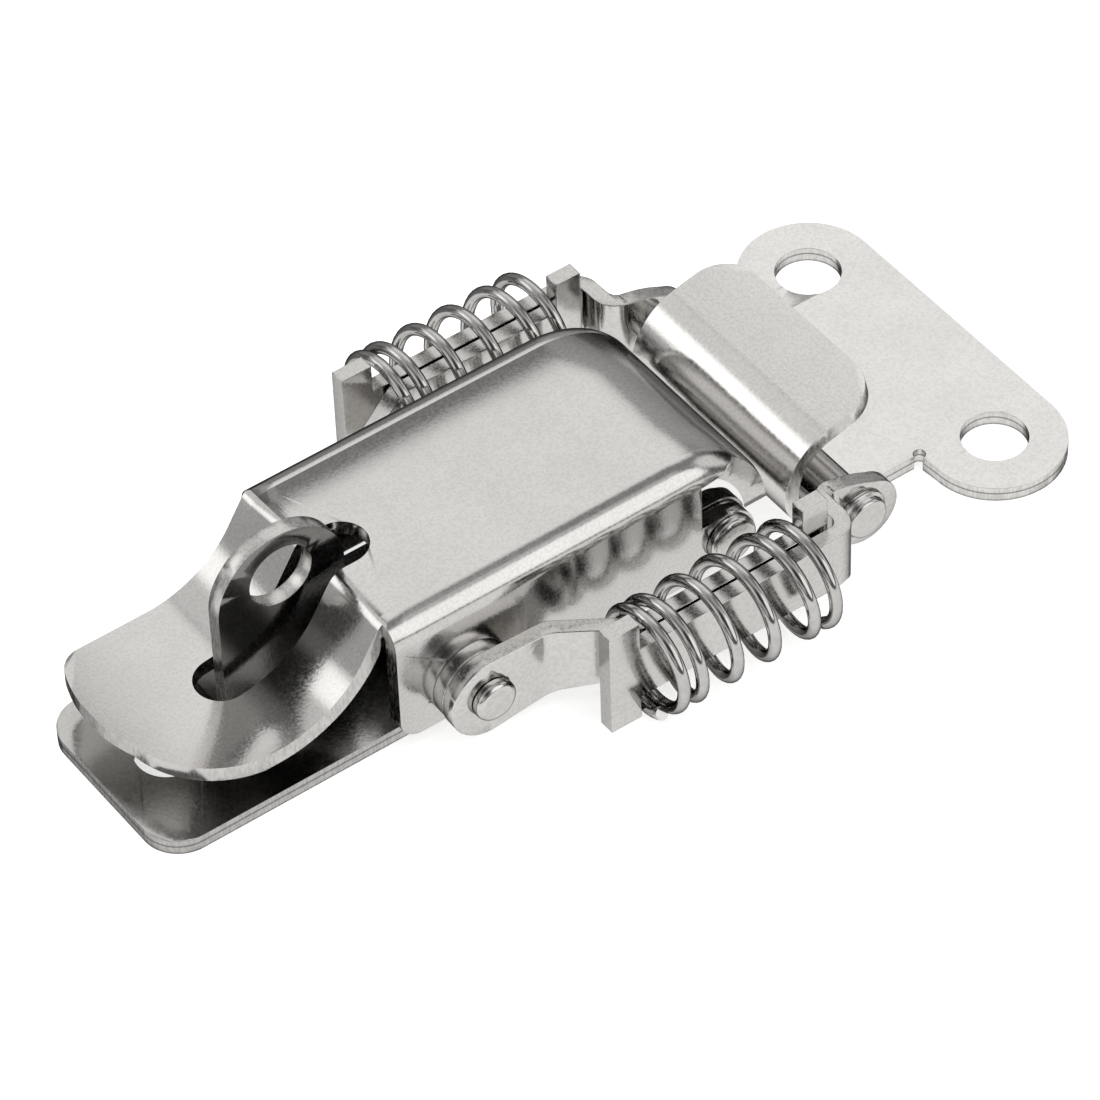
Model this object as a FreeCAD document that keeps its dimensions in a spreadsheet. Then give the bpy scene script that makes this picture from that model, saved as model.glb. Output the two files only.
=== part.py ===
import FreeCAD, Part
import math
import os

# Spring-loaded toggle latch with a padlock staple and its keeper, pressed from plated steel sheet.
# X runs along the latch towards the keeper, Y across it, Z up from the mounting plane. Millimetres.
# The origin is under the middle of the closed latch, and the latch is symmetric about the XZ plane,
# except for the foot of the staple plate.

SIZES = {
    "gauge": 1.2,                    # sheet thickness of every pressed part
    "fit_gap": 0.05,                 # radial running clearance round the pivots
    "base_left": -36.0,
    "base_right": 8.4,
    "base_half": 7.65,
    "base_corner": 2.8,
    "screw_hole": 2.4,               # radius of all the screw holes
    "base_screw_left": -30.8,
    "base_screw_right": -10.8,
    "cheek_left": 4.0,
    "cheek_end": 2.3,                # radius of the cheek round the lever pivot
    "pivot_across": 9.0,             # lever pivot, X
    "pivot_up": 3.8,                 # lever pivot, Z
    "pivot_pin": 1.2,                # radius of the pivot rivets
    "pivot_head": 1.9,
    "lever_left": -18.2,
    "lever_half": 9.0,
    "lever_top": 11.74,
    "lever_bottom": 1.3,
    "lever_bend": 2.0,               # outside radius of the lever's long bends
    "roll_across": 5.1,              # centre of the rolled right end
    "roll_outer": 8.17,
    "roll_end": 4.2,                 # height at which the rolled end stops
    "flange_right": 6.75,            # where the corner opening begins
    "opening_top": 9.74,
    "lug_end": 2.1,                  # radius of the lever's lug round the pivot
    "grip_left": -34.85,
    "grip_near": -7.55,              # near and far edges of the grip
    "grip_far": 8.15,
    "grip_top": 5.1,
    "grip_scoop": 8.2,               # inside radius of the thumb scoop
    "crease_bend": 1.7,              # outside radius where the top turns down to the scoop
    "crease_turn": 57.8,
    "slot_left": -28.2,
    "slot_right": -14.3,
    "slot_half": 2.0,
    "staple_across": -21.4,          # centre of the padlock hole
    "staple_up": 12.4,
    "staple_crown": 11.1,            # height of the centre of its rounded top
    "staple_end": 5.0,
    "padlock_hole": 2.45,
    "foot_right": 8.2,
    "foot_half": 5.3,
    "foot_rivet_left": -3.6,
    "foot_rivet_right": 3.2,
    "foot_rivet": 1.3,
    "foot_rivet_head": 2.1,
    "foot_rivet_rise": 0.7,
    "arm_rivet_across": -12.45,
    "arm_rivet_up": 4.0,
    "arm_rivet": 1.25,
    "arm_rivet_head": 1.6,
    "rivet_rise": 0.75,              # height of the outer rivet heads
    "arm_eye": 3.2,
    "arm_inner": 10.15,              # inner face of the arm beside the lever
    "arm_low": 1.3,
    "arm_high": 7.0,
    "strip_half": 2.3,              # half height of the strips inside the springs
    "jog_left": -7.6,
    "jog_right": -2.4,
    "arm_spring_inner": 13.35,        # inner face of the arm inside the spring
    "leg_inner": 14.75,              # inner face of the draw leg inside the spring
    "stop_low": 0.15,                 # bottom and top of the spring stops
    "stop_high": 9.3,
    "arm_stop_left": 11.0,
    "arm_stop_right": 13.1,
    "leg_stop_left": -6.1,
    "leg_stop_right": -3.6,
    "web_left": 13.8,                # inner face of the leg's bend towards the ear
    "ear_inner": 11.0,
    "ear_low": 0.55,                 # bottom, tip and top of the rounded ear round the cross pin
    "ear_tip": 20.95,
    "ear_high": 5.35,
    "leg_bend": 1.9,
    "pin_across": 17.8,
    "pin_up": 3.2,
    "pin": 1.4,
    "pin_shoulder": 1.9,
    "pin_head": 1.6,
    "pin_rise": 0.45,
    "spring_y": 15.2,
    "spring_up": 4.4,
    "spring_mean": 3.8,             # mean coil radius
    "spring_wire": 0.46,             # wire radius
    "spring_left": -3.6,
    "spring_right": 11.0,
    "spring_turns": 6.0,
    "keeper_half": 8.7,
    "keeper_step": 25.6,             # where the neck widens into the ears
    "keeper_hole_across": 30.89,
    "keeper_hole_y": 10.52,
    "keeper_ear": 5.11,
    "keeper_relief": 0.45,           # notch where the neck meets an ear
    "curl_across": 17.7,             # centre of the hook's lower curl
    "curl_outer": 3.7,
    "wall_outer": 4.85,
    "hook_slope": 13.9,              # degrees, rise of the hook's upper leaf
    "hook_right": 22.4,
    "hook_corner": 3.0,
}

doc = FreeCAD.newDocument("toggle_bolt_latch")
sheet = doc.addObject("Spreadsheet::Sheet", "sizes")
for row, (alias, number) in enumerate(SIZES.items(), start=1):
    sheet.set("A%d" % row, str(number))
    sheet.setAlias("A%d" % row, alias)
doc.recompute()


def size(alias):
    return float(sheet.get(alias))


GAUGE = size("gauge")
PIVOT = (size("pivot_across"), size("pivot_up"))
ARM_RIVET = (size("arm_rivet_across"), size("arm_rivet_up"))
HOOK_PIN = (size("pin_across"), size("pin_up"))
FAR_OUT = 60.0                       # beyond every edge of the latch
parts = []


def polar(centre, radius, degrees):
    turn = math.radians(degrees)
    return (centre[0] + radius * math.cos(turn), centre[1] + radius * math.sin(turn))


def loop_edges(steps, lift):
    """Edges of a closed outline. Each step is a point, or a pair (point on the arc, end of the arc)."""
    edges = []
    here = steps[0]
    for step in steps[1:] + [steps[0]]:
        if isinstance(step[0], tuple):
            middle, end = step
            edges.append(Part.Arc(lift(here), lift(middle), lift(end)))
        elif math.dist(here, step) > 1e-6:
            end = step
            edges.append(Part.LineSegment(lift(here), lift(end)))
        here = end
    return edges


def flat(point):
    return FreeCAD.Vector(point[0], point[1], 0.0)


def upright(point):
    return FreeCAD.Vector(point[0], 0.0, point[1])


# ---------------------------------------------------------------- PartDesign helpers

def new_body(name):
    body = doc.addObject("PartDesign::Body", name)
    body.Label = name
    parts.append(body)
    return body


def new_sketch(body, role, offset, outlines, circles=()):
    """Sketch on one of the body's own origin planes, moved along the plane's normal by offset."""
    sketch = body.newObject("Sketcher::SketchObject", body.Label + "_sketch")
    plane = [item for item in body.Origin.OriginFeatures if item.Role == role][0]
    sketch.AttachmentSupport = [(plane, "")]
    sketch.MapMode = "FlatFace"
    sketch.AttachmentOffset = FreeCAD.Placement(FreeCAD.Vector(0, 0, offset), FreeCAD.Rotation())
    for outline in outlines:
        for edge in loop_edges(outline, flat):
            sketch.addGeometry(edge, False)
    for centre, radius in circles:
        circle = Part.Circle(flat(centre), FreeCAD.Vector(0, 0, 1), radius)
        sketch.addGeometry(circle, False)
    return sketch


def add_pad(body, sketch, length, symmetric=False):
    pad = body.newObject("PartDesign::Pad", body.Label + "_pad")
    pad.Profile = sketch
    pad.SideType = "Symmetric" if symmetric else "One side"
    pad.setExpression("Length", length)
    doc.recompute()
    return pad


def add_pocket(body, sketch):
    """Cut right through the body, both ways from the sketch, and make sure that metal is removed."""
    before = body.Shape.Volume
    pocket = body.newObject("PartDesign::Pocket", body.Label + "_pocket")
    pocket.Profile = sketch
    pocket.SideType = "Symmetric"
    pocket.Type = "Length"
    pocket.Length = 2 * FAR_OUT
    doc.recompute()
    if body.Shape.Volume > before - 0.01:
        raise ValueError(body.Label + " pocket removes nothing")
    return pocket


def frame_outline():
    """A rectangle outside everything, so that a pocket keeps only what lies inside its other outline."""
    return [(-FAR_OUT, -FAR_OUT), (FAR_OUT, -FAR_OUT), (FAR_OUT, FAR_OUT), (-FAR_OUT, FAR_OUT)]


def round_corners(outline, radius_by_corner):
    """Replace the numbered corners of a straight-sided outline by tangent arcs."""
    steps = []
    count = len(outline)
    for index, corner in enumerate(outline):
        radius = radius_by_corner.get(index)
        if not radius:
            steps.append(corner)
            continue
        back = FreeCAD.Vector(*outline[index - 1], 0) - FreeCAD.Vector(*corner, 0)
        ahead = FreeCAD.Vector(*outline[(index + 1) % count], 0) - FreeCAD.Vector(*corner, 0)
        half = back.getAngle(ahead) / 2
        back.normalize()
        ahead.normalize()
        reach = radius / math.tan(half)
        inward = (back + ahead).normalize()
        middle = inward * (radius / math.sin(half) - radius)
        start = (corner[0] + back.x * reach, corner[1] + back.y * reach)
        halfway = (corner[0] + middle.x, corner[1] + middle.y)
        end = (corner[0] + ahead.x * reach, corner[1] + ahead.y * reach)
        steps.append(start)
        steps.append((halfway, end))
    return steps


def mirrored(outline, side):
    """The same outline on the near side (-1) or the far side (+1)."""
    steps = []
    for step in outline:
        if isinstance(step[0], tuple):
            steps.append(((step[0][0], step[0][1] * side), (step[1][0], step[1][1] * side)))
        else:
            steps.append((step[0], step[1] * side))
    return steps


# ---------------------------------------------------------------- fixed side

def make_base_plate():
    body = new_body("base_plate")
    half = size("base_half")
    plan = [
        (size("base_left"), -half),
        (size("base_right"), -half),
        (size("base_right"), half),
        (size("base_left"), half),
    ]
    corner = size("base_corner")
    plate = new_sketch(body, "XY_Plane", 0, [round_corners(plan, {0: corner, 3: corner})])
    add_pad(body, plate, "sizes.gauge")
    radius = size("cheek_end")
    left = size("cheek_left")
    top = PIVOT[1] + radius
    cheek = [
        (left, 0.2),
        (PIVOT[0] - 1.0, 0.2),
        (PIVOT[0], PIVOT[1] - radius),
        (polar(PIVOT, radius, 0), (PIVOT[0], top)),
        (left + 1.5, top),
        (left, top - 1.5),
    ]
    cheeks = new_sketch(body, "XZ_Plane", 0, [cheek])
    add_pad(body, cheeks, "sizes.base_half * 2", symmetric=True)
    inner = half - GAUGE
    between = [(left - 1, -inner), (FAR_OUT, -inner), (FAR_OUT, inner), (left - 1, inner)]
    gap = new_sketch(body, "XY_Plane", GAUGE, [between])
    pocket = body.newObject("PartDesign::Pocket", "base_plate_channel")
    pocket.Profile = gap
    pocket.Reversed = True
    pocket.Length = FAR_OUT
    doc.recompute()
    screws = [((size("base_screw_left"), 0), size("screw_hole"))]
    screws.append(((size("base_screw_right"), 0), size("screw_hole")))
    for across in (size("foot_rivet_left"), size("foot_rivet_right")):
        screws.append(((across, 0), size("foot_rivet")))
    add_pocket(body, new_sketch(body, "XY_Plane", 0, [], screws))
    pivot = [(PIVOT, size("pivot_pin"))]
    add_pocket(body, new_sketch(body, "XZ_Plane", 0, [], pivot))
    return body


def make_staple_plate():
    """The padlock staple, turned up from a foot that lies on the base plate."""
    body = new_body("staple_plate")
    half = size("foot_half")
    right = size("foot_right")
    step = size("staple_across") + size("staple_end") + 1.5
    plan = [
        (size("staple_across") - size("staple_end"), -GAUGE / 2),
        (step, -GAUGE / 2),
        (step, -half),
        (right, -half),
        (right, half),
        (size("staple_across") - size("staple_end"), half),
    ]
    foot = new_sketch(body, "XY_Plane", GAUGE, [round_corners(plan, {2: 1.5, 3: 1.2, 4: 1.2, 5: 2.0})])
    add_pad(body, foot, "sizes.gauge")
    eye = (size("staple_across"), size("staple_up"))
    crown = (eye[0], size("staple_crown"))
    radius = size("staple_end")
    outline = [
        (eye[0] - radius, GAUGE),
        (eye[0] + radius, GAUGE),
        polar(crown, radius, 0),
        (polar(crown, radius, 90), polar(crown, radius, 180)),
    ]
    staple = new_sketch(body, "XZ_Plane", 0, [outline], [(eye, size("padlock_hole"))])
    add_pad(body, staple, "sizes.gauge", symmetric=True)
    holes = [((size("base_screw_right"), 0), size("screw_hole"))]
    for across in (size("foot_rivet_left"), size("foot_rivet_right")):
        holes.append(((across, 0), size("foot_rivet")))
    add_pocket(body, new_sketch(body, "XY_Plane", 0, [], holes))
    return body


def turned_part(name, steps, across, up, vertical=False):
    """A rivet or pin turned from (distance along its axis, radius) steps, its last step an arc.

    across and up are the sheet's names for where its axis lies, up being None on the mounting plane.
    """
    body = new_body(name)
    outline = [(steps[0][0], 0.0)] + steps + [(steps[-1][1][0], 0.0)]
    sketch = new_sketch(body, "XY_Plane", 0, [outline])
    turn = body.newObject("PartDesign::Revolution", name + "_turn")
    turn.Profile = sketch
    turn.ReferenceAxis = (sketch, ["H_Axis"])
    turn.Angle = 360
    axis = FreeCAD.Vector(0, 0, 1) if vertical else FreeCAD.Vector(0, 1, 0)
    turned = FreeCAD.Rotation(FreeCAD.Vector(1, 0, 0), axis)
    body.Placement = FreeCAD.Placement(FreeCAD.Vector(), turned)
    body.setExpression("Placement.Base.x", "sizes." + across)
    if up:
        body.setExpression("Placement.Base.z", "sizes." + up)
    doc.recompute()
    return body


def flipped(steps):
    """The same profile on the near side: distances along the axis change sign."""
    turned = []
    for step in steps:
        if isinstance(step[0], tuple):
            turned.append(((-step[0][0], step[0][1]), (-step[1][0], step[1][1])))
        else:
            turned.append((-step[0], step[1]))
    return turned


def head_steps(start, radius, rise):
    """Profile of a low rivet head with a rounded rim, growing from start."""
    rim = rise * 0.6
    centre = (start + rise - rim, radius - rim)
    return [(start, radius), (centre[0], radius), (polar(centre, rim, 45), (start + rise, centre[1]))]


def make_staple_rivet(name, across):
    """Low head on the foot, and a closing end that fills the base's hole flush with its underside."""
    shank = size("foot_rivet")
    top = 2 * GAUGE
    steps = [(0.0, shank), (top, shank)]
    steps += head_steps(top, size("foot_rivet_head"), size("foot_rivet_rise"))
    return turned_part(name, steps, across, None, vertical=True)


def make_pivot_rivet(name, side):
    """Rivet of the lever pivot: tight in the base's cheek, free in the lever's lug."""
    pin = size("pivot_pin")
    head = size("pivot_head")
    inner = size("base_half") - GAUGE
    outer = size("lever_half") + size("fit_gap")
    steps = [(inner - 0.5, head), (inner, head), (inner, pin), (outer, pin)]
    steps += head_steps(outer, head, size("rivet_rise"))
    if side < 0:
        steps = flipped(steps)
    return turned_part(name, steps, "pivot_across", "pivot_up")


# ---------------------------------------------------------------- lever

def box_between(low, high):
    corner = FreeCAD.Vector(*low)
    return Part.makeBox(high[0] - low[0], high[1] - low[1], high[2] - low[2], corner)


def slab(outline, half):
    """Solid of an XZ outline, from -half to +half in Y."""
    wire = Part.Wire([curve.toShape() for curve in loop_edges(outline, upright)])
    solid = Part.Face(wire).extrude(FreeCAD.Vector(0, 2 * half, 0))
    solid.translate(FreeCAD.Vector(0, -half, 0))
    return solid


def long_edges(solid, half, lowest):
    """The edges that run along X at the two sides, above a height."""
    found = []
    for edge in solid.Edges:
        box = edge.BoundBox
        at_side = abs(abs(box.Center.y) - half) < 1e-6 and box.YLength < 1e-6
        if at_side and box.ZMin > lowest and box.XLength > 1.0:
            found.append(edge)
    return found


def lever_shell():
    """Channel with its right end rolled down: an outer form less an inner one, one gauge apart."""
    top = size("lever_top")
    roll = (size("roll_across"), top - size("roll_outer"))
    bottom = size("lever_bottom")
    forms = []
    for inset, left, low in ((0.0, size("lever_left"), bottom), (GAUGE, -FAR_OUT, -5.0)):
        radius = size("roll_outer") - inset
        half = size("lever_half") - inset
        outline = [
            (left, low),
            (left, top - inset),
            (roll[0], top - inset),
            (polar(roll, radius, 45), (roll[0] + radius, roll[1])),
            (roll[0] + radius, low),
        ]
        form = slab(outline, half)
        bend = size("lever_bend") - inset
        forms.append(form.makeFillet(bend, long_edges(form, half, roll[1] - 0.5)))
    return forms[0].cut(forms[1])


def lever_openings():
    """Waste cut from the shell: the corner openings beside the lugs, and the metal below the roll."""
    right = size("flange_right")
    inner = size("lever_half") - GAUGE
    outer = size("lever_half") + 1
    waste = []
    radius = size("lug_end")
    for side in (-1, 1):
        ends = sorted((side * inner, side * outer))
        opening = box_between((right, ends[0], -5), (20, ends[1], size("opening_top")))
        lug = box_between((right, ends[0], PIVOT[1] - radius), (PIVOT[0], ends[1], PIVOT[1] + radius))
        end = Part.makeCylinder(
            radius, ends[1] - ends[0], FreeCAD.Vector(PIVOT[0], ends[0], PIVOT[1]), FreeCAD.Vector(0, 1, 0)
        )
        waste.append(opening.cut(lug.fuse(end)))
    below = box_between((right, -inner, -5), (20, inner, size("roll_end")))
    waste.append(below)
    return waste


def grip_solid():
    """The sheet from the crease down through the scoop to the thumb lip, trimmed to its blank."""
    top = size("lever_top")
    lip = size("grip_top")
    scoop = size("grip_scoop")
    centre = (-26.9, lip + scoop)
    start_low = polar(centre, scoop + GAUGE, -30)
    start = polar(centre, scoop, -30)
    left = size("grip_left")
    crease = size("lever_left")
    outline = [
        (crease + 1.2, top - GAUGE),
        (crease + 1.2, top),
        (crease, top),
        start,
        (polar(centre, scoop, -60), (centre[0], lip)),
        (left, lip),
        (left, lip - GAUGE),
        (centre[0], lip - GAUGE),
        (polar(centre, scoop + GAUGE, -60), start_low),
        (start_low[0] + (top - GAUGE - start_low[1]) * 0.55, top - GAUGE),
    ]
    near = size("grip_near")
    far = size("grip_far")
    plan = [
        (0.0, near),
        (left + 6.9, near),
        ((left + 2.35, near + 2.55), (left + 0.75, near + 6.3)),
        ((left, far - 4.2), (left + 0.65, far - 1.35)),
        ((left + 1.35, far - 0.4), (left + 2.5, far)),
        (0.0, far),
    ]
    wire = Part.Wire([curve.toShape() for curve in loop_edges(plan, flat)])
    blank = Part.Face(wire).extrude(FreeCAD.Vector(0, 0, FAR_OUT))
    return slab(outline, size("lever_half")).common(blank)


def crease_waste():
    """Corner metal outside the rounded crease, and above the long bends where the grip leaves them."""
    top = size("lever_top")
    crease = (size("lever_left"), top)
    radius = size("crease_bend")
    tangent = radius * math.tan(math.radians(size("crease_turn") / 2))
    centre = (crease[0] + tangent, top - radius)
    slope = polar(centre, radius, 90 + size("crease_turn"))
    middle = polar(centre, radius, 90 + size("crease_turn") / 2)
    waste = [slab([slope, (middle, (centre[0], top)), (crease[0], top + 1), (slope[0] - 1, top)], 10)]
    bend = size("lever_bend")
    for side in (-1, 1):
        middle = side * (size("lever_half") - bend)
        outer = side * (size("lever_half") + 1)
        low, high = sorted((middle, outer))
        corner = box_between((crease[0] - 1.2, low, top - bend), (crease[0] + 1.3, high, top + 1))
        start = FreeCAD.Vector(crease[0] - 2, middle, top - bend)
        waste.append(corner.cut(Part.makeCylinder(bend, 4, start, FreeCAD.Vector(1, 0, 0))))
    return waste


def slot_solid():
    half = size("slot_half")
    left = size("slot_left") + half
    right = size("slot_right") - half
    low = 2.6
    tall = size("lever_top") + 1 - low
    middle = box_between((left, -half, low), (right, half, low + tall))
    ends = [Part.makeCylinder(half, tall, FreeCAD.Vector(x, 0, low)) for x in (left, right)]
    return middle.fuse(ends)


def make_lever():
    shell = lever_shell().cut(lever_openings())
    front = []
    for edge in shell.Edges:
        box = edge.BoundBox
        at_foot = box.XMax < size("lever_left") + 0.01 and box.ZMax < size("lever_bottom") + 0.01
        if at_foot and box.YLength > 0.5:
            front.append(edge)
    shell = shell.makeFillet(1.8, front)
    solid = shell.fuse(grip_solid()).cut([slot_solid()] + crease_waste())
    across = FreeCAD.Vector(0, 1, 0)
    for centre, radius in ((PIVOT, size("pivot_pin") + size("fit_gap")), (ARM_RIVET, size("arm_rivet"))):
        start = FreeCAD.Vector(centre[0], -FAR_OUT, centre[1])
        solid = solid.cut(Part.makeCylinder(radius, 2 * FAR_OUT, start, across))
    lever = doc.addObject("Part::Feature", "lever")
    lever.Label = "lever"
    lever.Shape = solid.removeSplitter()
    parts.append(lever)
    return lever


def make_arm_rivet(name, side):
    """Rivet that holds an arm and its spacer against the lever's flange."""
    shank = size("arm_rivet")
    head = size("arm_rivet_head")
    inner = size("lever_half") - GAUGE
    outer = size("arm_inner") + GAUGE + size("fit_gap")
    steps = [(inner - 0.5, head), (inner, head), (inner, shank), (outer, shank)]
    steps += head_steps(outer, head, size("rivet_rise"))
    if side < 0:
        steps = flipped(steps)
    return turned_part(name, steps, "arm_rivet_across", "arm_rivet_up")


def make_spacer(name, side):
    """Washer that keeps an arm clear of the lever's flange."""
    body = new_body(name)
    inner = size("arm_rivet") + size("fit_gap")
    start = side * size("lever_half")
    rings = [(ARM_RIVET, size("arm_eye") - 0.1), (ARM_RIVET, inner)]
    ring = new_sketch(body, "XZ_Plane", -start, [], rings)
    pad = add_pad(body, ring, "sizes.arm_inner - sizes.lever_half - sizes.fit_gap")
    pad.Reversed = side > 0
    doc.recompute()
    return body


# ---------------------------------------------------------------- arms, draw legs and springs

def trim_to(body, outline, circles=()):
    """Keep only what lies inside an XZ outline, and cut the round holes."""
    add_pocket(body, new_sketch(body, "XZ_Plane", 0, [frame_outline(), outline]))
    if circles:
        add_pocket(body, new_sketch(body, "XZ_Plane", 0, [], circles))


def make_arm(name, side):
    """Flat arm: eye on the lever's rivet, jog outwards, strip through the spring, tall stop at its end."""
    body = new_body(name)
    inner = size("arm_inner")
    outer = size("arm_spring_inner")
    left = ARM_RIVET[0] - size("arm_eye") - 1
    right = size("arm_stop_right")
    jog = (size("jog_left"), size("jog_right"))
    slant = math.hypot(jog[1] - jog[0], outer - inner)
    lag = GAUGE * (slant - (jog[1] - jog[0])) / (outer - inner)
    plan = [
        (left, inner),
        (jog[0] + lag, inner),
        (jog[1] + lag, outer),
        (right, outer),
        (right, outer + GAUGE),
        (jog[1], outer + GAUGE),
        (jog[0], inner + GAUGE),
        (left, inner + GAUGE),
    ]
    bends = {1: 1.5, 2: 2.7, 5: 1.5, 6: 2.7}
    strip = new_sketch(body, "XY_Plane", 0, [mirrored(round_corners(plan, bends), side)])
    add_pad(body, strip, "sizes.stop_high + 1")
    eye = size("arm_eye")
    low = size("arm_low")
    high = size("arm_high")
    middle = size("spring_up")
    half = size("strip_half")
    bottom = size("stop_low")
    top = size("stop_high")
    stop_left = size("arm_stop_left")
    outline = [
        (ARM_RIVET[0], ARM_RIVET[1] - eye),
        (jog[0], low),
        (jog[1], middle - half),
        (stop_left, middle - half),
        (stop_left, bottom),
        (right, bottom),
        (right, top),
        (stop_left, top),
        (stop_left, middle + half),
        (jog[1], middle + half),
        (jog[0], high),
        (ARM_RIVET[0], ARM_RIVET[1] + eye),
        (polar(ARM_RIVET, eye, 180), (ARM_RIVET[0], ARM_RIVET[1] - eye)),
    ]
    hole = [(ARM_RIVET, size("arm_rivet") + size("fit_gap"))]
    trim_to(body, outline, hole)
    return body


def make_draw_leg(name, side):
    """Leg through the spring: tall stop at its left end, bent in at its right end to the pin's ear."""
    body = new_body(name)
    inner = size("leg_inner")
    outer = inner + GAUGE
    ear = size("ear_inner")
    left = size("leg_stop_left")
    web = size("web_left")
    right = size("ear_tip") + 1
    bend = size("leg_bend")
    plan = [
        (left, inner),
        (web, inner),
        (web, ear),
        (right, ear),
        (right, ear + GAUGE),
        (web + GAUGE, ear + GAUGE),
        (web + GAUGE, outer),
        (left, outer),
    ]
    bends = {1: bend - GAUGE, 2: bend, 5: bend - GAUGE, 6: bend}
    strip = new_sketch(body, "XY_Plane", 0, [mirrored(round_corners(plan, bends), side)])
    add_pad(body, strip, "sizes.stop_high + 1")
    middle = size("spring_up")
    half = size("strip_half")
    bottom = size("stop_low")
    top = size("stop_high") - 0.2
    stop_right = size("leg_stop_right")
    outline = [
        (left, bottom),
        (stop_right, bottom),
        (stop_right, middle - half),
        (web, middle - half),
        (HOOK_PIN[0] - 0.8, size("ear_low")),
        ((size("ear_tip"), HOOK_PIN[1] - 0.4), (HOOK_PIN[0] + 1.3, size("ear_high"))),
        ((HOOK_PIN[0] - 0.6, size("ear_high") + 0.85), (web + GAUGE, middle + half)),
        (stop_right, middle + half),
        (stop_right, top),
        (left, top),
    ]
    trim_to(body, outline, [(HOOK_PIN, size("pin"))])
    return body


def make_spring(name, side):
    """Compression spring round the arm and the draw leg, its wire inside the two stops."""
    body = new_body(name)
    sketch = body.newObject("Sketcher::SketchObject", name + "_wire")
    plane = [item for item in body.Origin.OriginFeatures if item.Role == "XZ_Plane"][0]
    sketch.AttachmentSupport = [(plane, "")]
    sketch.MapMode = "FlatFace"
    centre = FreeCAD.Vector(0, size("spring_up"), -side * size("spring_y"))
    sketch.AttachmentOffset = FreeCAD.Placement(centre, FreeCAD.Rotation())
    wire = size("spring_wire")
    start = size("spring_left") + wire
    circle = Part.Circle(flat((start, size("spring_mean"))), FreeCAD.Vector(0, 0, 1), wire)
    sketch.addGeometry(circle, False)
    coil = body.newObject("PartDesign::AdditiveHelix", name + "_coil")
    coil.Profile = sketch
    coil.ReferenceAxis = (sketch, ["H_Axis"])
    coil.Mode = "height-turns-angle"
    coil.setExpression("Height", "sizes.spring_right - sizes.spring_left - 2 * sizes.spring_wire")
    coil.setExpression("Turns", "sizes.spring_turns")
    doc.recompute()
    return body


def make_hook_pin():
    """Cross pin between the two ears, its ends upset over them with a shoulder and a stub."""
    shank = size("pin")
    outer = size("ear_inner") + GAUGE
    shoulder = size("pin_shoulder")
    step = outer + 0.3
    stub = size("pin_head")
    steps = [(0.0, shank), (outer, shank), (outer, shoulder), (step, shoulder), (step + 0.1, stub)]
    steps += head_steps(step + 0.2, stub, size("pin_rise"))
    body = turned_part("hook_pin", steps, "pin_across", "pin_up")
    turn = body.Tip
    mirror = body.newObject("PartDesign::Mirrored", "hook_pin_near_half")
    mirror.Originals = [turn]
    mirror.MirrorPlane = (turn.Profile[0], ["V_Axis"])
    body.Tip = mirror
    doc.recompute()
    return body


# ---------------------------------------------------------------- keeper

def hook_outline():
    """XZ outline of the keeper: plate, curl under the pin, wall and sloping upper leaf."""
    outer = size("curl_outer")
    curl = (size("curl_across"), outer)
    wall = size("wall_outer")
    bend = (curl[0] - outer + wall, outer)
    slope = size("hook_slope")
    lean = 90 + slope
    along = math.radians(slope)
    upper = polar(bend, wall, lean)
    length = (size("hook_right") - upper[0]) / math.cos(along)
    under = polar(bend, wall - GAUGE, lean)
    right = size("keeper_step") + 1
    return [
        (right, 0.0),
        (right, GAUGE),
        (curl[0], GAUGE),
        (polar(curl, outer - GAUGE, 225), (curl[0] - outer + GAUGE, outer)),
        (polar(bend, wall - GAUGE, 145), under),
        (under[0] + length * math.cos(along), under[1] + length * math.sin(along)),
        (upper[0] + length * math.cos(along), upper[1] + length * math.sin(along)),
        upper,
        (polar(bend, wall, 145), (curl[0] - outer, outer)),
        (polar(curl, outer, 225), (curl[0], 0.0)),
    ]


def make_keeper_plate():
    body = new_body("keeper_plate")
    hook = new_sketch(body, "XZ_Plane", 0, [hook_outline()])
    add_pad(body, hook, "sizes.keeper_half * 2", symmetric=True)
    step = size("keeper_step")
    ear = size("keeper_ear")
    hole = (size("keeper_hole_across"), size("keeper_hole_y"))
    far = (hole[0], -hole[1])
    slant = math.degrees(math.acos((hole[0] - step) / ear)) if hole[0] - step < ear else 0.0
    half = size("keeper_half")
    plan = [
        (step, -half),
        polar(far, ear, 180 + slant),
        (polar(far, ear, 270), polar(far, ear, 360)),
        polar(hole, ear, 0),
        (polar(hole, ear, 90), polar(hole, ear, 180 - slant)),
        (step, half),
    ]
    plate = new_sketch(body, "XY_Plane", 0, [plan])
    add_pad(body, plate, "sizes.gauge")
    screws = [(hole, size("screw_hole")), (far, size("screw_hole"))]
    for side in (-1, 1):
        screws.append(((step + 0.1, side * half), size("keeper_relief")))
    cut = new_sketch(body, "XY_Plane", 0, [], screws)
    add_pocket(body, cut)
    free_corners = []
    for number, edge in enumerate(body.Shape.Edges, start=1):
        box = edge.BoundBox
        at_tip = box.XMin > size("hook_right") - 1.0 and box.XMax < size("hook_right") + 1.0
        if at_tip and box.YLength < 1e-6 and box.ZMin > 5 and edge.Length < GAUGE + 0.01:
            free_corners.append("Edge%d" % number)
    sharp = body.Tip
    fillet = body.newObject("PartDesign::Fillet", "keeper_plate_corners")
    fillet.Base = (sharp, free_corners)
    fillet.setExpression("Radius", "sizes.hook_corner")
    doc.recompute()
    return body


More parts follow.
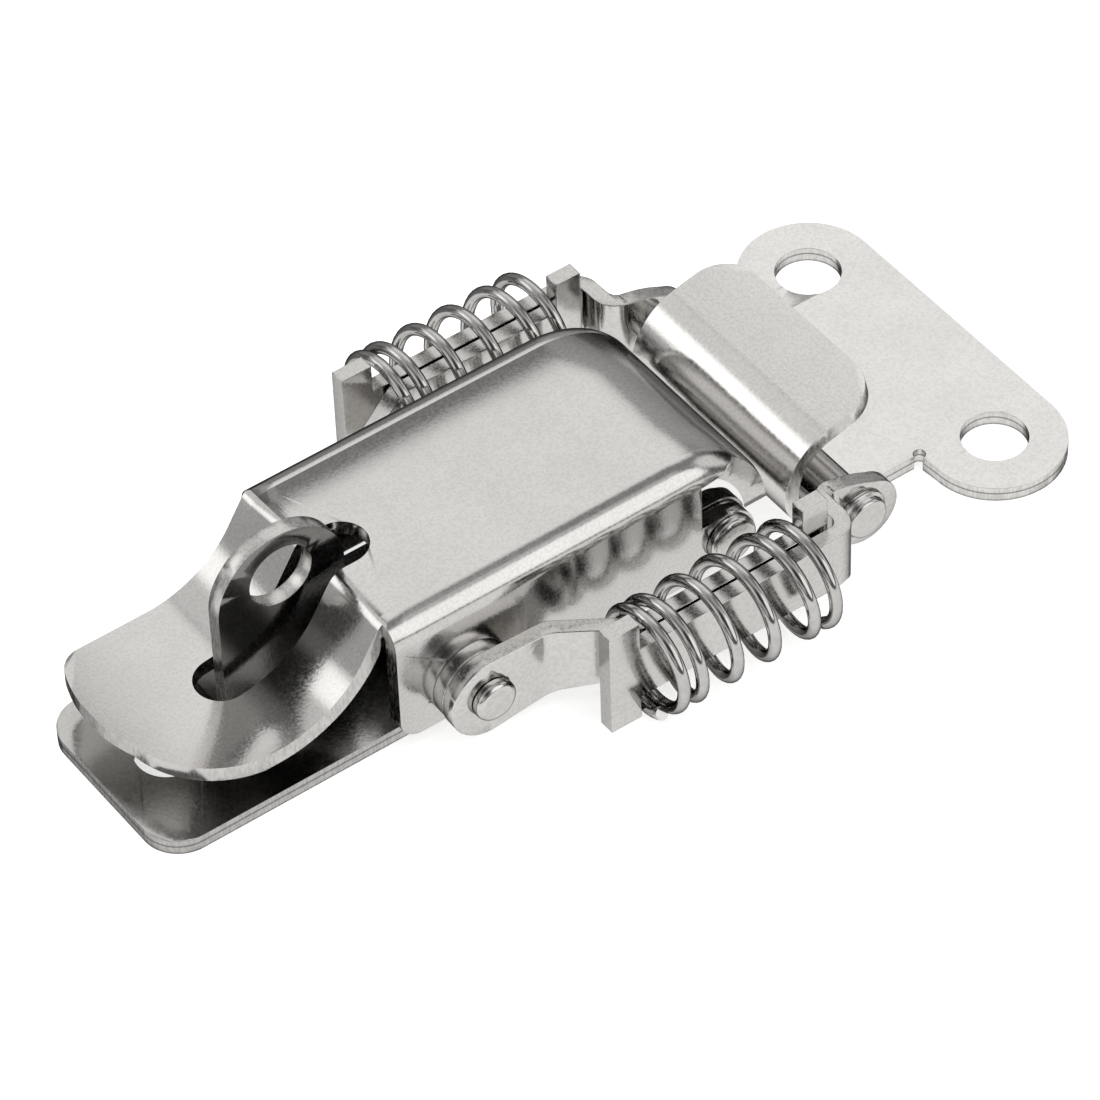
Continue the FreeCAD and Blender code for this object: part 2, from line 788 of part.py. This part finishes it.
make_base_plate()
make_staple_plate()
make_staple_rivet("left_staple_rivet", "foot_rivet_left")
make_staple_rivet("right_staple_rivet", "foot_rivet_right")
make_lever()
make_hook_pin()
make_keeper_plate()
for prefix, side in (("near", -1), ("far", 1)):
    make_pivot_rivet(prefix + "_pivot_rivet", side)
    make_arm_rivet(prefix + "_arm_rivet", side)
    make_spacer(prefix + "_arm_spacer", side)
    make_arm(prefix + "_arm", side)
    make_draw_leg(prefix + "_draw_leg", side)
    make_spring(prefix + "_spring", side)

doc.recompute()
for item in doc.Objects:
    if "Invalid" in item.State or "Error" in item.State:
        raise ValueError("%s did not recompute: %s" % (item.Label, item.State))
os.makedirs("parts", exist_ok=True)
for item in parts:
    shape = item.Shape
    if shape.isNull() or not shape.isValid() or not shape.Solids:
        raise ValueError("%s has no valid solid" % item.Label)
    shape.exportStep("parts/%s.step" % item.Label)
    print(item.Label, len(shape.Solids), round(shape.Volume, 1), item.Shape.BoundBox)
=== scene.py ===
import math

import bpy
from mathutils import Matrix, Vector


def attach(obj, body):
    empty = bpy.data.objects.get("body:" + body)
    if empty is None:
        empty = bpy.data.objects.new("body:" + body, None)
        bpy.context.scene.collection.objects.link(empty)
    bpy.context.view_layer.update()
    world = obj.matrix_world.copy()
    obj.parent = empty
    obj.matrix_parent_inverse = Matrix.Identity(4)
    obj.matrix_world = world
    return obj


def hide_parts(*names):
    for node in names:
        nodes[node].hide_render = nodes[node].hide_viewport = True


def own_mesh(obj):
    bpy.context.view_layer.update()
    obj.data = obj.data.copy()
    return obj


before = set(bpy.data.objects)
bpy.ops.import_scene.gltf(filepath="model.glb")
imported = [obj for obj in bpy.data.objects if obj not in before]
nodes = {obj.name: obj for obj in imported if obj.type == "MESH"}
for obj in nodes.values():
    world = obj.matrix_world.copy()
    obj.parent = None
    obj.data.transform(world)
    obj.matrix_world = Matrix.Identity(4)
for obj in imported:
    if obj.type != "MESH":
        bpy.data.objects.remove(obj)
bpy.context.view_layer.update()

MM = 0.001
scene = bpy.context.scene
scene.view_settings.view_transform = "Standard"


# ---------------------------------------------------------------- camera, floor and light

CAMERA_AZIMUTH = math.radians(-34.427)
CAMERA_ELEVATION = math.radians(45.825)
CAMERA_ROLL = math.radians(-2.375)
CAMERA_TARGET = Vector((0.737, 0.410, 0.0)) * MM
CAMERA_DISTANCE = 424.8 * MM
CAMERA_LENS = 203.25


def make_camera():
    """Long lens looking down on the latch from its near left side."""
    azimuth, elevation, roll = CAMERA_AZIMUTH, CAMERA_ELEVATION, CAMERA_ROLL
    back = Vector((
        math.sin(azimuth) * math.cos(elevation),
        -math.cos(azimuth) * math.cos(elevation),
        math.sin(elevation),
    ))
    right = Vector((math.cos(azimuth), math.sin(azimuth), 0.0))
    up = back.cross(right)
    rolled_right = math.cos(roll) * right + math.sin(roll) * up
    rolled_up = -math.sin(roll) * right + math.cos(roll) * up
    data = bpy.data.cameras.new("camera")
    data.lens = CAMERA_LENS
    data.sensor_width = 36.0
    data.clip_start = 0.01
    data.clip_end = 10.0
    camera = bpy.data.objects.new("camera", data)
    turn = Matrix((rolled_right, rolled_up, back)).transposed().to_4x4()
    camera.matrix_world = Matrix.Translation(CAMERA_TARGET + back * CAMERA_DISTANCE) @ turn
    scene.collection.objects.link(camera)
    scene.camera = camera


OVERHEAD_SIZE = 1.6
OVERHEAD_POWER = 6.0
OVERHEAD_PLACE = (-0.15, 0.0, 1.0)


def overhead_light():
    """Wide soft light straight above. It whitens the floor, and the plating mirrors the studio instead."""
    data = bpy.data.lights.new("overhead", "AREA")
    data.shape = "SQUARE"
    data.size = OVERHEAD_SIZE
    data.energy = OVERHEAD_POWER
    light = bpy.data.objects.new("overhead", data)
    light.location = OVERHEAD_PLACE
    light.visible_glossy = False
    scene.collection.objects.link(light)


class NodeTree:
    """Small helper that adds and links shader nodes."""

    def __init__(self, tree):
        self.tree = tree

    def node(self, kind, **inputs):
        made = self.tree.nodes.new(kind)
        for name, source in inputs.items():
            self.feed(made.inputs[name.replace("_", " ")], source)
        return made

    def feed(self, socket, source):
        if isinstance(source, bpy.types.NodeSocket):
            self.tree.links.new(source, socket)
        else:
            socket.default_value = source

    def math(self, operation, *sources):
        made = self.tree.nodes.new("ShaderNodeMath")
        made.operation = operation
        for socket, source in zip(made.inputs, sources):
            self.feed(socket, source)
        return made.outputs[0]

    def step(self, value, low, high, start=0.0, end=1.0):
        """Smooth change from start to end while value goes from low to high."""
        made = self.tree.nodes.new("ShaderNodeMapRange")
        made.interpolation_type = "SMOOTHSTEP"
        for name, source in (
            ("Value", value), ("From Min", low), ("From Max", high), ("To Min", start), ("To Max", end),
        ):
            self.feed(made.inputs[name], source)
        return made.outputs[0]

    def facing(self, direction, toward):
        made = self.tree.nodes.new("ShaderNodeVectorMath")
        made.operation = "DOT_PRODUCT"
        self.feed(made.inputs[0], direction)
        made.inputs[1].default_value = Vector(toward).normalized()
        return made.outputs["Value"]


# direction, cosine at the soft outer rim, cosine at the full inner rim, brightness
SOFTBOXES = (
    ((0.385, -0.80, 0.46), 0.865, 0.93, 1.30),
    ((-0.63, 0.58, 0.52), 0.93, 0.995, 1.50),
    ((-0.56, 0.50, 0.66), 0.80, 0.97, 0.52),
    ((-0.30, 0.65, 0.70), 0.89, 0.97, 0.74),
    ((0.25, -0.55, 0.80), 0.90, 0.98, 0.62),
    ((-0.10, 0.40, 0.91), 0.91, 0.99, 0.65),
    ((0.0, -0.10, 1.0), 0.88, 0.98, 0.50),
    ((-0.80, 0.52, 0.30), 0.86, 0.97, 0.46),
    ((0.72, 0.66, 0.17), 0.86, 0.97, 0.44),
    ((-0.95, -0.10, 0.35), 0.90, 0.98, 0.80),
    ((0.95, -0.20, 0.40), 0.90, 0.98, 0.80),
    ((-0.70, -0.70, 0.30), 0.93, 0.99, 0.60),
    ((0.05, 0.97, 0.22), 0.84, 0.97, 0.30),
)
BACK_WINDOW = ((0.42, 0.52, 0.74), 0.84, 0.96, 0.98)
WINDOW_SILL = (0.15, 0.62)      # upward part of the direction where the window starts, and where it is full
# black cards: direction, cosine at the outer rim, cosine at the full inner rim, share of the light kept back
BLACK_CARDS = (
    ((0.99, 0.10, 0.02), 0.93, 0.985, 0.90),
    ((-0.46, -0.62, 0.64), 0.91, 0.975, 0.80),
)
ROOM_LOW, ROOM_HIGH = 0.13, 0.26        # brightness of the bare room at the horizon and overhead
ROOM_TOP = 0.8                          # upward part of the direction where the room is at its brightest
TABLE_NEAR, TABLE_FAR = 0.95, 0.22      # brightness of the table top towards the camera and behind the latch
TABLE_EDGE = (0.60, 0.70)               # backward part of the direction where it darkens
UNDER_HORIZON = (-0.02, -0.10)          # upward part of the direction where the room gives way to the table
STUDIO_WHITE = (1.0, 0.99, 0.98, 1)


def make_world():
    """Dim studio with soft boxes around the latch, for the plating to mirror, and a lit table top below."""
    world = bpy.data.worlds.new("studio")
    world.use_nodes = True
    world.node_tree.nodes.clear()
    net = NodeTree(world.node_tree)
    place = net.node("ShaderNodeTexCoord").outputs["Generated"]
    split = net.node("ShaderNodeSeparateXYZ", Vector=place)
    light = net.step(split.outputs["Z"], 0.0, ROOM_TOP, ROOM_LOW, ROOM_HIGH)
    toward, outer, inner, brightness = BACK_WINDOW
    glow = net.step(net.facing(place, toward), outer, inner, 0.0, brightness)
    sill = net.step(split.outputs["Z"], *WINDOW_SILL)
    light = net.math("MAXIMUM", light, net.math("MULTIPLY", glow, sill))
    for toward, outer, inner, brightness in SOFTBOXES:
        glow = net.step(net.facing(place, toward), outer, inner, 0.0, brightness)
        light = net.math("MAXIMUM", light, glow)
    table = net.step(split.outputs["Y"], *TABLE_EDGE, TABLE_NEAR, TABLE_FAR)
    below = net.step(split.outputs["Z"], *UNDER_HORIZON)
    light = net.node("ShaderNodeMix", Factor=below, A=light, B=table).outputs[0]
    for toward, outer, inner, held_back in BLACK_CARDS:
        kept = net.step(net.facing(place, toward), outer, inner, 1.0, 1.0 - held_back)
        light = net.math("MULTIPLY", light, kept)
    background = net.node("ShaderNodeBackground", Strength=light)
    background.inputs["Color"].default_value = STUDIO_WHITE
    output = net.node("ShaderNodeOutputWorld", Surface=background.outputs[0])
    output.is_active_output = True
    scene.world = world


FLOOR_HALF = 2.0
FLOOR_DROP = 0.02 * MM          # keeps the floor clear of the latch's flat underside
FLOOR_TONE = (0.92, 0.92, 0.92, 1)
FLOOR_GLOW = 0.62


def make_floor():
    """Plain white paper. The plating doesn't mirror it: the world's lower half stands in for it."""
    mesh = bpy.data.meshes.new("floor")
    half = FLOOR_HALF
    corners = [(-half, -half, 0), (half, -half, 0), (half, half, 0), (-half, half, 0)]
    mesh.from_pydata(corners, [], [(0, 1, 2, 3)])
    floor = bpy.data.objects.new("floor", mesh)
    floor.location.z = -FLOOR_DROP
    floor.visible_glossy = False
    scene.collection.objects.link(floor)
    paint = bpy.data.materials.new("floor_paper")
    paint.use_nodes = True
    shader = paint.node_tree.nodes["Principled BSDF"]
    shader.inputs["Base Color"].default_value = FLOOR_TONE
    shader.inputs["Emission Color"].default_value = (1.0, 1.0, 1.0, 1)
    shader.inputs["Emission Strength"].default_value = FLOOR_GLOW
    shader.inputs["Roughness"].default_value = 1.0
    shader.inputs["Specular IOR Level"].default_value = 0.0
    mesh.materials.append(paint)


# ---------------------------------------------------------------- materials

# Each pair is where a mask starts to rise, and where it is full. The first four are parts of a face's normal.
LYING = (0.35, 0.75)
UPRIGHT = (0.75, 0.35)
SIDEWAYS = (0.45, 0.75)
FLANGE_LYING = (0.40, 0.75)
STAPLE_FOOT_TOP = (2.5 * MM, 2.8 * MM)
KEEPER_PLATE_LEFT = (23.5 * MM, 25.0 * MM)
GRIP_RIGHT = (-18.3 * MM, -18.8 * MM)
FLANGE_FOOT = (2.6 * MM, 1.6 * MM)
LEVER_ENDS = (-0.90, -0.97)


def cut_mask(net, kind):
    """1 on the sheared edges of a part, 0 on the rolled faces of its sheet."""
    place = net.node("ShaderNodeTexCoord")
    normal = net.node("ShaderNodeSeparateXYZ", Vector=place.outputs["Normal"])
    here = net.node("ShaderNodeSeparateXYZ", Vector=place.outputs["Object"])
    side, up = (net.math("ABSOLUTE", normal.outputs[axis]) for axis in "YZ")
    if kind == "flat":
        return net.step(up, *UPRIGHT)
    if kind == "strip":
        return net.step(up, *LYING)
    if kind == "staple":
        lifted = net.step(here.outputs["Z"], *STAPLE_FOOT_TOP)
        return net.math("MULTIPLY", net.step(side, *UPRIGHT), lifted)
    if kind == "keeper":
        plate = net.step(here.outputs["X"], *KEEPER_PLATE_LEFT)
        edge = net.math("MULTIPLY", net.step(up, *UPRIGHT), plate)
        leaf = net.step(side, *SIDEWAYS)
        return net.math("MAXIMUM", edge, leaf)
    grip = net.step(here.outputs["X"], *GRIP_RIGHT)
    rim = net.math("MULTIPLY", net.step(side, *SIDEWAYS), grip)
    low = net.math("MULTIPLY", net.step(here.outputs["Z"], *FLANGE_FOOT), net.step(up, *FLANGE_LYING))
    end = net.step(normal.outputs["X"], *LEVER_ENDS)
    return net.math("MAXIMUM", net.math("MAXIMUM", rim, low), end)


GRAZING_TINT = (0.12, 0.12, 0.12, 1)    # darkens the plating where it is seen edge on
CLOUD_SIZE = 5.0 * MM
SCORING_SIZE = 0.30 * MM
SCORING_STRETCH = (1.5, 1.5, 0.4)
EDGE_ROUGHNESS = (0.20, 0.34)
# The staple's faces carry painted shade. This gain lifts its cut edges back to about plain nickel.
STAPLE_EDGE_GAIN = 2.8                  # the staple's edges are brighter than its dark faces


def plated_steel(name, tone, gloss, grain_size, grain_depth, kind=None):
    """Bright nickel plate: fine orange-peel grain, uneven gloss, and duller scored edges where it was cut."""
    material = bpy.data.materials.new(name)
    material.use_nodes = True
    net = NodeTree(material.node_tree)
    shader = material.node_tree.nodes["Principled BSDF"]
    shader.inputs["Metallic"].default_value = 1.0
    shader.inputs["Specular Tint"].default_value = GRAZING_TINT
    place = net.node("ShaderNodeTexCoord").outputs["Object"]

    def noise(size, detail, stretch=(1.0, 1.0, 1.0)):
        scaled = net.node("ShaderNodeVectorMath")
        scaled.operation = "MULTIPLY"
        net.feed(scaled.inputs[0], place)
        scaled.inputs[1].default_value = stretch
        made = net.node("ShaderNodeTexNoise", Vector=scaled.outputs[0], Scale=1.0 / size, Detail=detail)
        return made.outputs[0]

    grain = noise(grain_size, 2.0)
    cloud = noise(CLOUD_SIZE, 3.0)
    scoring = noise(SCORING_SIZE, 2.0, SCORING_STRETCH)
    mask = cut_mask(net, kind) if kind else 0.0
    haze = net.step(cloud, 0.3, 0.7, 0.95, 1.0)
    fleck = net.step(grain, 0.34, 0.62, 0.90, 1.0)
    shade = net.math("MULTIPLY", haze, fleck)
    edge_shade = net.step(scoring, 0.35, 0.65, 0.78, 1.0)
    if kind in ("flat", "keeper"):
        edge_shade = net.math("MULTIPLY", edge_shade, shear_line(net, place))
    if kind == "staple":
        edge_shade = net.math("MULTIPLY", edge_shade, STAPLE_EDGE_GAIN)
    value = net.node("ShaderNodeMix", Factor=mask, A=shade, B=edge_shade).outputs[0]
    tint = net.node("ShaderNodeVectorMath")
    tint.operation = "SCALE"
    tint.inputs[0].default_value = tone
    net.feed(tint.inputs["Scale"], value)
    net.feed(shader.inputs["Base Color"], tint.outputs[0])
    face_rough = net.step(grain, 0.25, 0.75, gloss * 0.8, gloss * 1.25)
    edge_rough = net.step(scoring, 0.3, 0.7, *EDGE_ROUGHNESS)
    rough = net.node("ShaderNodeMix", Factor=mask, A=face_rough, B=edge_rough).outputs[0]
    net.feed(shader.inputs["Roughness"], rough)
    relief = net.node("ShaderNodeMix", Factor=mask, A=grain, B=scoring).outputs[0]
    bump = net.node("ShaderNodeBump", Height=relief, Distance=grain_depth)
    bump.inputs["Strength"].default_value = 1.0
    if kind == "lever":
        crown = net.node("ShaderNodeBump", Height=top_crown(net, place), Distance=1.0)
        crown.inputs["Strength"].default_value = 1.0
        net.feed(bump.inputs["Normal"], crown.outputs[0])
    net.feed(shader.inputs["Normal"], bump.outputs[0])
    return material


# side of the lever's top, where it starts to fall away from the middle, and how fast
CROWN_SIDES = ((1, 2.5 * MM, 30.0), (-1, 4.0 * MM, 24.0))
CROWN_REACH = 7.0 * MM
CROWN_LEFT = (-19.5 * MM, -16.5 * MM)
LIP_START = -24.0 * MM
LIP_CURL = 12.0


def top_crown(net, place):
    """The pressed top falls away before the long bends, and the thumb lip curls up. Height in metres."""
    here = net.node("ShaderNodeSeparateXYZ", Vector=place)
    height = 0.0
    for sign, start, steepness in CROWN_SIDES:
        side = net.math("MULTIPLY", here.outputs["Y"], sign)
        past = net.math("MAXIMUM", net.math("SUBTRACT", side, start), 0.0)
        past = net.math("MINIMUM", past, CROWN_REACH - start)
        drop = net.math("MULTIPLY", net.math("MULTIPLY", past, past), steepness)
        height = net.math("SUBTRACT", height, drop)
    flat_top = net.step(here.outputs["X"], *CROWN_LEFT)
    reach = net.math("MAXIMUM", net.math("SUBTRACT", LIP_START, here.outputs["X"]), 0.0)
    lip = net.math("MULTIPLY", net.math("MULTIPLY", reach, reach), LIP_CURL)
    return net.math("ADD", net.math("MULTIPLY", height, flat_top), lip)


SHEAR_HEIGHT = 0.70 * MM
SHEAR_TOP = 0.82 * MM
SHEAR_BOTTOM = 0.55 * MM
SHEAR_TONE = 0.40
FOOT_BAND = (0.05 * MM, 0.22 * MM)
FOOT_TONE = 0.45


def shear_line(net, place):
    """Dark line along a flat plate's edge, between its burnished upper part and its torn lower part."""
    up = net.node("ShaderNodeSeparateXYZ", Vector=place).outputs["Z"]
    above = net.step(up, SHEAR_HEIGHT, SHEAR_TOP)
    below = net.step(up, SHEAR_HEIGHT, SHEAR_BOTTOM)
    beside = net.math("MAXIMUM", above, below)
    foot = net.step(up, *FOOT_BAND, FOOT_TONE, 1.0)
    return net.math("MULTIPLY", net.step(beside, 0.0, 1.0, SHEAR_TONE, 1.0), foot)


WELD_DISTANCE = 0.0005 * MM
BEVEL_SEGMENTS = 2
BEVEL_ANGLE = math.radians(40)


def dress(node_name, material, edge_radius):
    """Give a CAD node its finish, and break its sharp edges."""
    piece = nodes[node_name]
    piece.data.materials.clear()
    piece.data.materials.append(material)
    weld = piece.modifiers.new("weld", "WELD")
    weld.merge_threshold = WELD_DISTANCE
    if edge_radius:
        bevel = piece.modifiers.new("edge", "BEVEL")
        bevel.width = edge_radius
        bevel.segments = BEVEL_SEGMENTS
        bevel.limit_method = "ANGLE"
        bevel.angle_limit = BEVEL_ANGLE
    for face in piece.data.polygons:
        face.use_smooth = True
    weighted = piece.modifiers.new("flat_faces", "WEIGHTED_NORMAL")
    weighted.mode = "FACE_AREA"
    weighted.weight = 100
    weighted.keep_sharp = False


# ---------------------------------------------------------------- springs

WIRE = 0.46 * MM                # radius of the wire
COIL = 3.76 * MM                # radius of the coils, to the middle of the wire
COIL_TILT = 0.38 * MM           # how far the coils lean at their tops
COIL_TOP = math.radians(51)     # direction in which they lean
# where the wire is along the spring at each half turn, in millimetres
COIL_STATIONS = (-3.12, -2.62, -2.12, -1.5, -0.1, 1.35, 2.8, 4.35, 5.95, 7.5, 9.1, 10.0, 10.5)
WHOLE_TURNS = (len(COIL_STATIONS) - 1) / 2
SQUARE_START, SQUARE_END = 0.8, 0.6     # turns at each end that stay square
STEPS_PER_TURN = 44
STEPS_AROUND = 18
LAST_STATION = len(COIL_STATIONS) - 1.000001    # just short of the end, so that a station follows it
SPRING_OUT = 15.2 * MM
SPRING_UP = 4.4 * MM


def station(turns):
    """Smooth curve through COIL_STATIONS, turns being counted from the first."""
    place = min(max(turns * 2, 0.0), LAST_STATION)
    first = int(place)
    part = place - first
    before, here, there, after = (
        COIL_STATIONS[min(max(first + step, 0), len(COIL_STATIONS) - 1)] for step in (-1, 0, 1, 2)
    )
    lean_in = (there - before) / 2
    lean_out = (after - here) / 2
    square = part * part
    cube = square * part
    return (
        here * (2 * cube - 3 * square + 1) + lean_in * (cube - 2 * square + part)
        + there * (3 * square - 2 * cube) + lean_out * (cube - square)
    )


def wire_point(turns, middle):
    """Centre of the wire, with the coils leaning over between their square ends."""
    angle = COIL_TOP + 2 * math.pi * (turns - 1.5)
    leaning = min(1.0, max(0.0, min(turns - SQUARE_START, WHOLE_TURNS - SQUARE_END - turns)))
    across = station(turns) * MM + COIL_TILT * leaning * math.cos(angle - COIL_TOP)
    return Vector((across, middle[1] + COIL * math.cos(angle), middle[2] + COIL * math.sin(angle)))


def make_spring(node_name, middle):
    """Wire swept along the coil path, with plain cut ends."""
    count = round(WHOLE_TURNS * STEPS_PER_TURN)
    points, faces = [], []
    for index in range(count + 1):
        turns = WHOLE_TURNS * index / count
        centre = wire_point(turns, middle)
        along = (wire_point(turns + 0.002, middle) - wire_point(turns - 0.002, middle)).normalized()
        outward = (centre - Vector((centre.x, middle[1], middle[2]))).normalized()
        beside = along.cross(outward).normalized()
        outward = beside.cross(along).normalized()
        for step in range(STEPS_AROUND):
            turn = 2 * math.pi * step / STEPS_AROUND
            points.append(centre + WIRE * (math.cos(turn) * outward + math.sin(turn) * beside))
    for index in range(count):
        start = index * STEPS_AROUND
        for step in range(STEPS_AROUND):
            following = (step + 1) % STEPS_AROUND
            faces.append((
                start + step, start + following,
                start + STEPS_AROUND + following, start + STEPS_AROUND + step,
            ))
    faces.append(tuple(reversed(range(STEPS_AROUND))))
    faces.append(tuple(range(count * STEPS_AROUND, (count + 1) * STEPS_AROUND)))
    mesh = bpy.data.meshes.new(node_name + "_coils")
    mesh.from_pydata(points, [], faces)
    for face in mesh.polygons:
        face.use_smooth = len(face.vertices) == 4
    mesh.materials.append(wire_plate)
    spring = bpy.data.objects.new(node_name + "_coils", mesh)
    scene.collection.objects.link(spring)
    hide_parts(node_name)
    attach(spring, "arms")
    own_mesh(spring)


# ---------------------------------------------------------------- the latch

NICKEL = (0.725, 0.715, 0.70)
# Nickel set darker for the spring wire: painted shade standing in for the dark reflections along its coils
WIRE_NICKEL_PAINTED_DARK = (0.62, 0.61, 0.60)
# Painted light: one nickel, made darker or lighter per part to stand in for how bright its reflections look.
# The staple plate's 0.36 is painted shade for its dark reflection, and the keeper plate's 1.15 is painted
# extra brightness.
SHEET_PAINTED_BRIGHTNESS = {"base_plate": 0.80, "staple_plate": 0.36, "lever": 0.98, "keeper_plate": 1.15}
SHEET_KINDS = {"base_plate": "flat", "staple_plate": "staple", "lever": "lever", "keeper_plate": "keeper"}
STRIP_NODES = ("near_arm", "far_arm", "near_draw_leg", "far_draw_leg")
SHEET_FINISH = {"gloss": 0.15, "grain_size": 0.22 * MM, "grain_depth": 0.0045 * MM}
STRIP_FINISH = {"gloss": 0.14, "grain_size": 0.30 * MM, "grain_depth": 0.0025 * MM}
RIVET_FINISH = {"gloss": 0.18, "grain_size": 0.35 * MM, "grain_depth": 0.003 * MM}
WIRE_FINISH = {"gloss": 0.08, "grain_size": 0.60 * MM, "grain_depth": 0.0012 * MM}
SHEET_EDGE = 0.12 * MM
STRIP_EDGE = 0.10 * MM
RIVET_EDGE = 0.06 * MM

strip_plate = plated_steel("plated_strip", NICKEL, **STRIP_FINISH, kind="strip")
rivet_plate = plated_steel("plated_rivet", NICKEL, **RIVET_FINISH)
# the spring wire's colour carries painted shade
wire_plate = plated_steel("spring_wire", WIRE_NICKEL_PAINTED_DARK, **WIRE_FINISH)

make_camera()
make_world()
make_floor()
overhead_light()

for node_name in nodes:
    if node_name in SHEET_KINDS:
        # nickel scaled by the part's painted brightness
        tone = tuple(channel * SHEET_PAINTED_BRIGHTNESS[node_name] for channel in NICKEL)
        plate = plated_steel("plated_" + node_name, tone, **SHEET_FINISH, kind=SHEET_KINDS[node_name])
        dress(node_name, plate, SHEET_EDGE)
    elif node_name in STRIP_NODES:
        dress(node_name, strip_plate, STRIP_EDGE)
    elif node_name.endswith("_spring"):
        dress(node_name, wire_plate, 0.0)
    else:
        dress(node_name, rivet_plate, RIVET_EDGE)

for side_name, sign in (("near", -1), ("far", 1)):
    make_spring(side_name + "_spring", (0.0, sign * SPRING_OUT, SPRING_UP))
